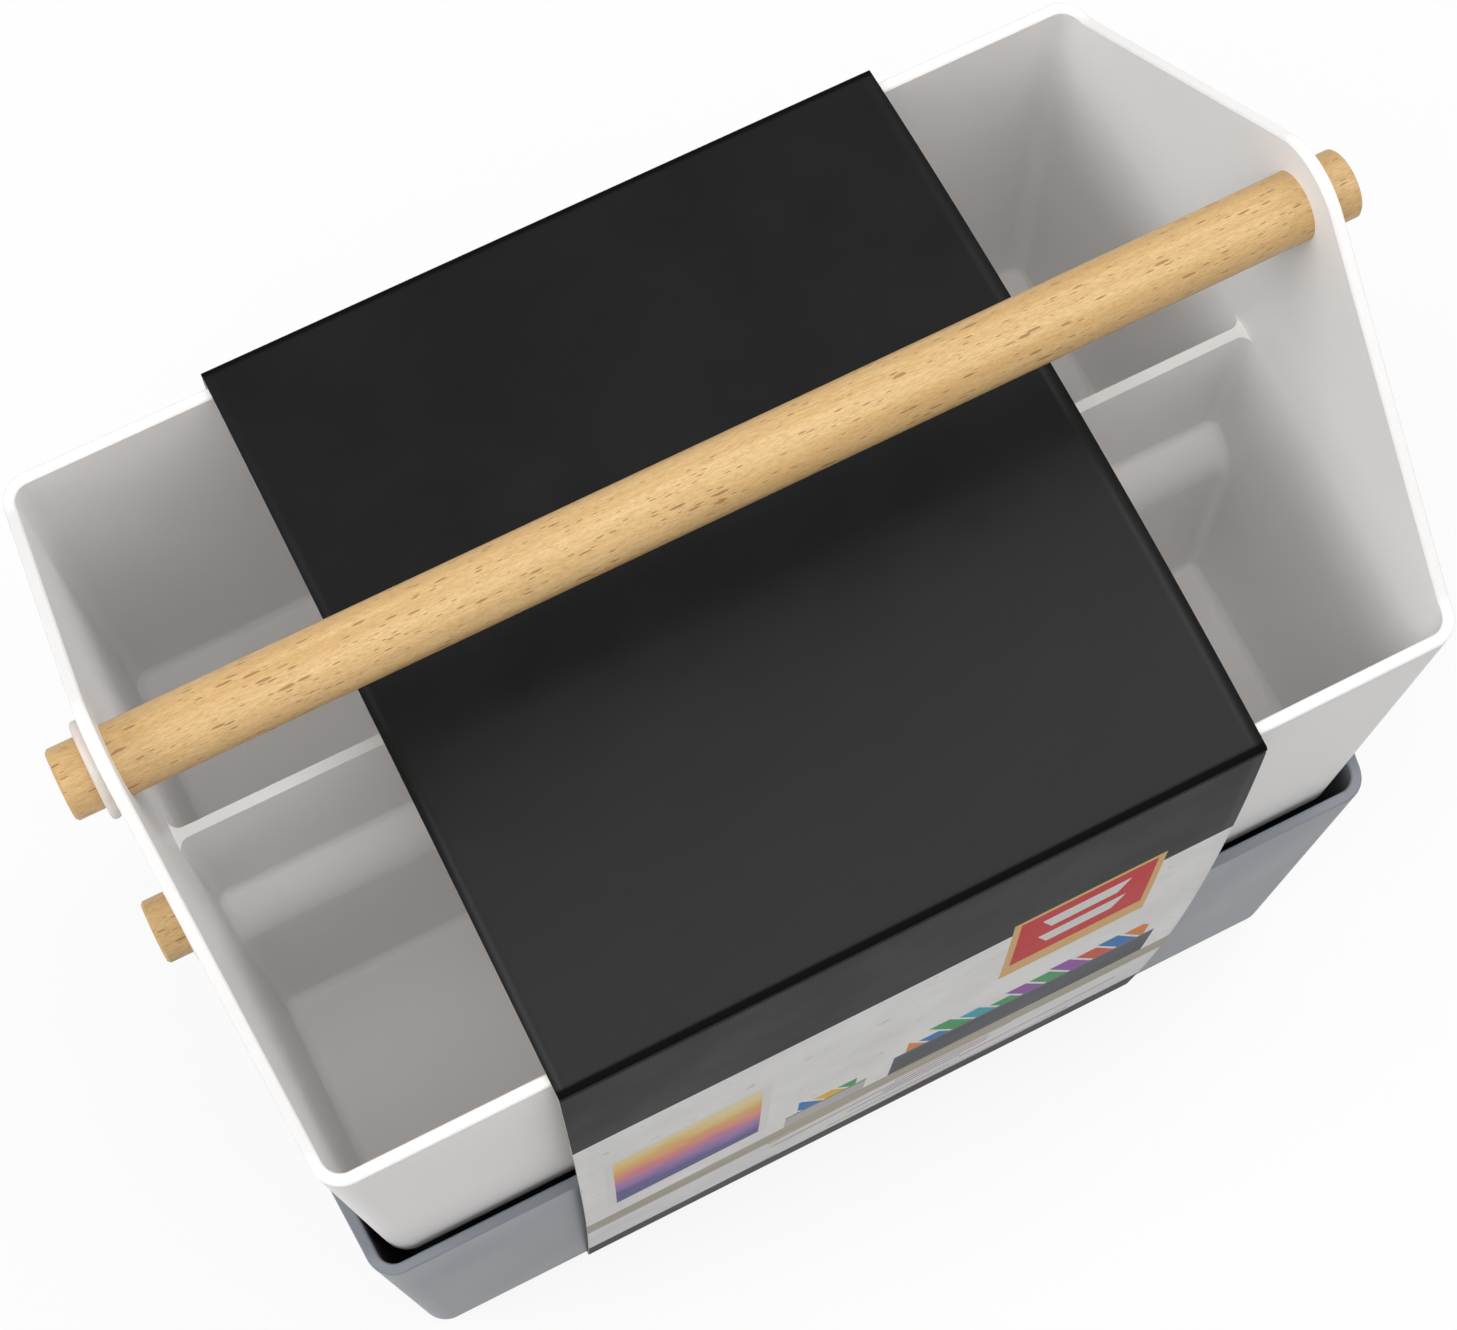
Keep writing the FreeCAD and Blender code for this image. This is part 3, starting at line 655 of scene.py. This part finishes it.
def sleeve_mesh():
    """One sheet of faces round the baskets; slot 0 is the black card, slot 1 the front's print."""
    line, inner = middle_line()
    line = tucked(line, inner)
    mesh = bmesh.new()
    rows = []
    for number, (y, z) in enumerate(line):
        row = []
        for column in range(COLUMNS + 1):
            x = (column / COLUMNS - 0.5) * WIDTH
            inward = -math.copysign(dent(x, z, number > inner), y)
            row.append(mesh.verts.new((x * MM, (y + inward) * MM, z * MM)))
        rows.append(row)
    for number in range(len(rows) - 1):
        (y, z), (next_y, next_z) = line[number], line[number + 1]
        on_front = y < 0 and next_y < 0 and abs(next_z - z) > abs(next_y - y)
        this, following = rows[number], rows[number + 1]
        for column in range(COLUMNS):
            face = mesh.faces.new((this[column], this[column + 1],
                                   following[column + 1], following[column]))
            face.smooth = True
            face.material_index = 1 if on_front else 0
    mesh.normal_update()
    data = bpy.data.meshes.new("card_wrap")
    mesh.to_mesh(data)
    mesh.free()
    return data


def build_sleeve():
    """The folded strip of card, with its print outside, raw board inside and raw cut edges."""
    wrap = bpy.data.objects.new("card_wrap", sleeve_mesh())
    bpy.context.scene.collection.objects.link(wrap)
    board = raw_board("card_inside", (0.62, 0.585, 0.53), (0.53, 0.495, 0.44))
    core = raw_board("card_edge", (0.78, 0.765, 0.74), (0.68, 0.665, 0.64))
    for material in (black_card("card_black"), front_card("card_front"), board, board, core, core):
        wrap.data.materials.append(material)
    thick = wrap.modifiers.new("thickness", "SOLIDIFY")
    thick.thickness = CARD * MM
    thick.offset = 0
    thick.use_even_offset = True
    thick.material_offset = 2
    thick.material_offset_rim = 4
    return wrap


sleeve = build_sleeve()
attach(sleeve, "card_sleeve")
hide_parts("card_sleeve")

# --- floor ------------------------------------------------------------------------------------

FLOOR_REACH = 6.0      # metres each way
FLOOR_DROP = 0.0001    # metres, so that it isn't level with the card's underside
FLOOR_SHOWN = 0.85     # share of plain white in what the camera and reflections see
FLOOR_SEEN = (0.97, 0.97, 0.97)


def pale_floor():
    """White to the camera and in reflections, and still darker where the object shades it."""
    s = Surface("pale_floor", roughness=0.9, specular=0.1)
    paths = s.add("ShaderNodeLightPath").outputs
    tone = s.mix(s.span(s.noise(3, detail=2), 0.3, 0.7), (0.50, 0.50, 0.50), (0.48, 0.48, 0.48))
    s.finish(s.mix(paths["Is Camera Ray"], tone, FLOOR_SEEN))
    reflected = s.math("MAXIMUM", paths["Is Glossy Ray"], paths["Is Transmission Ray"])
    seen = s.math("MAXIMUM", paths["Is Camera Ray"], reflected)
    glow = s.add("ShaderNodeEmission")
    glow.inputs["Strength"].default_value = 1
    join = s.add("ShaderNodeMixShader")
    s.feed(join.inputs[0], s.math("MULTIPLY", seen, FLOOR_SHOWN))
    s.feed(join.inputs[1], s.shader.outputs[0])
    s.feed(join.inputs[2], glow.outputs[0])
    s.feed(s.tree.nodes["Material Output"].inputs["Surface"], join.outputs[0])
    return s.material


floor_mesh = bpy.data.meshes.new("floor")
floor_corners = [(x * FLOOR_REACH, y * FLOOR_REACH, 0)
                 for x, y in ((-1, -1), (1, -1), (1, 1), (-1, 1))]
floor_mesh.from_pydata(floor_corners, [], [(0, 1, 2, 3)])
floor_mesh.materials.append(pale_floor())
floor = bpy.data.objects.new("floor", floor_mesh)
floor.location.z = -FLOOR_DROP
bpy.context.scene.collection.objects.link(floor)

# --- light ------------------------------------------------------------------------------------

# name, place, aim, width and height in metres, power in watts
SOFTBOXES = (
    ("overhead", (0, -0.25, 1.65), (0, -0.25, 0), 1.4, 0.9, 7.2),
    ("left_side", (-1.3, 0.0, 1.3), (0, 0, 0.25), 1.1, 0.9, 9.5),
    ("right_side", (1.2, 0.1, 1.6), (0, 0, 0.25), 1.1, 0.9, 8.3))
SKY_FOR_LIGHT = 0.50
SKY_FOR_CAMERA = 1.0


def softbox(name, place, aim, width, height, power):
    lamp = bpy.data.lights.new(name, "AREA")
    lamp.shape = "RECTANGLE"
    lamp.size = width
    lamp.size_y = height
    lamp.energy = power
    holder = bpy.data.objects.new(name, lamp)
    holder.location = place
    holder.rotation_euler = (Vector(aim) - Vector(place)).to_track_quat("-Z", "Y").to_euler()
    bpy.context.scene.collection.objects.link(holder)


def studio_world():
    """White behind the object, and dimmer as a light."""
    world = bpy.data.worlds.new("studio")
    world.use_nodes = True
    nodes = world.node_tree.nodes
    links = world.node_tree.links
    dim = nodes["Background"]
    bright = nodes.new("ShaderNodeBackground")
    for sky, strength in ((dim, SKY_FOR_LIGHT), (bright, SKY_FOR_CAMERA)):
        sky.inputs["Color"].default_value = (1, 1, 1, 1)
        sky.inputs["Strength"].default_value = strength
    paths = nodes.new("ShaderNodeLightPath")
    choose = nodes.new("ShaderNodeMixShader")
    links.new(paths.outputs["Is Camera Ray"], choose.inputs[0])
    links.new(dim.outputs[0], choose.inputs[1])
    links.new(bright.outputs[0], choose.inputs[2])
    links.new(choose.outputs[0], nodes["World Output"].inputs["Surface"])
    return world


for entry in SOFTBOXES:
    softbox(*entry)
bpy.context.scene.world = studio_world()

# --- camera -----------------------------------------------------------------------------------

# The photograph's camera, solved from the object's outlines: its axes in the row frame, its place
# in metres, and its focal length, centre and picture size in picture points.
CAMERA_RIGHT = (0.893876, -0.448159, -0.011768)
CAMERA_DOWN = (-0.424799, -0.83831, -0.341735)
CAMERA_FORWARD = (0.143286, 0.310468, -0.939723)
CAMERA_PLACE = (-0.148434896, -0.300209683, 1.201604385)
FOCAL = 3427.968875
CENTRE_X = 691.180411
CENTRE_Y = 594.149059
IMAGE_WIDTH = 1457
IMAGE_HEIGHT = 1330
SENSOR = 36            # millimetres

lens = bpy.data.cameras.new("camera")
lens.sensor_fit = "HORIZONTAL"
lens.sensor_width = SENSOR
lens.lens = FOCAL * SENSOR / IMAGE_WIDTH
lens.shift_x = (IMAGE_WIDTH / 2 - CENTRE_X) / IMAGE_WIDTH
lens.shift_y = -(IMAGE_HEIGHT / 2 - CENTRE_Y) / IMAGE_WIDTH
camera = bpy.data.objects.new("camera", lens)
bpy.context.scene.collection.objects.link(camera)
camera_up = [-value for value in CAMERA_DOWN]
camera_back = [-value for value in CAMERA_FORWARD]
axes = Matrix((CAMERA_RIGHT, camera_up, camera_back)).transposed()
camera.matrix_world = Matrix.Translation(CAMERA_PLACE) @ axes.to_4x4()
bpy.context.scene.camera = camera
bpy.context.scene.view_settings.view_transform = "Standard"
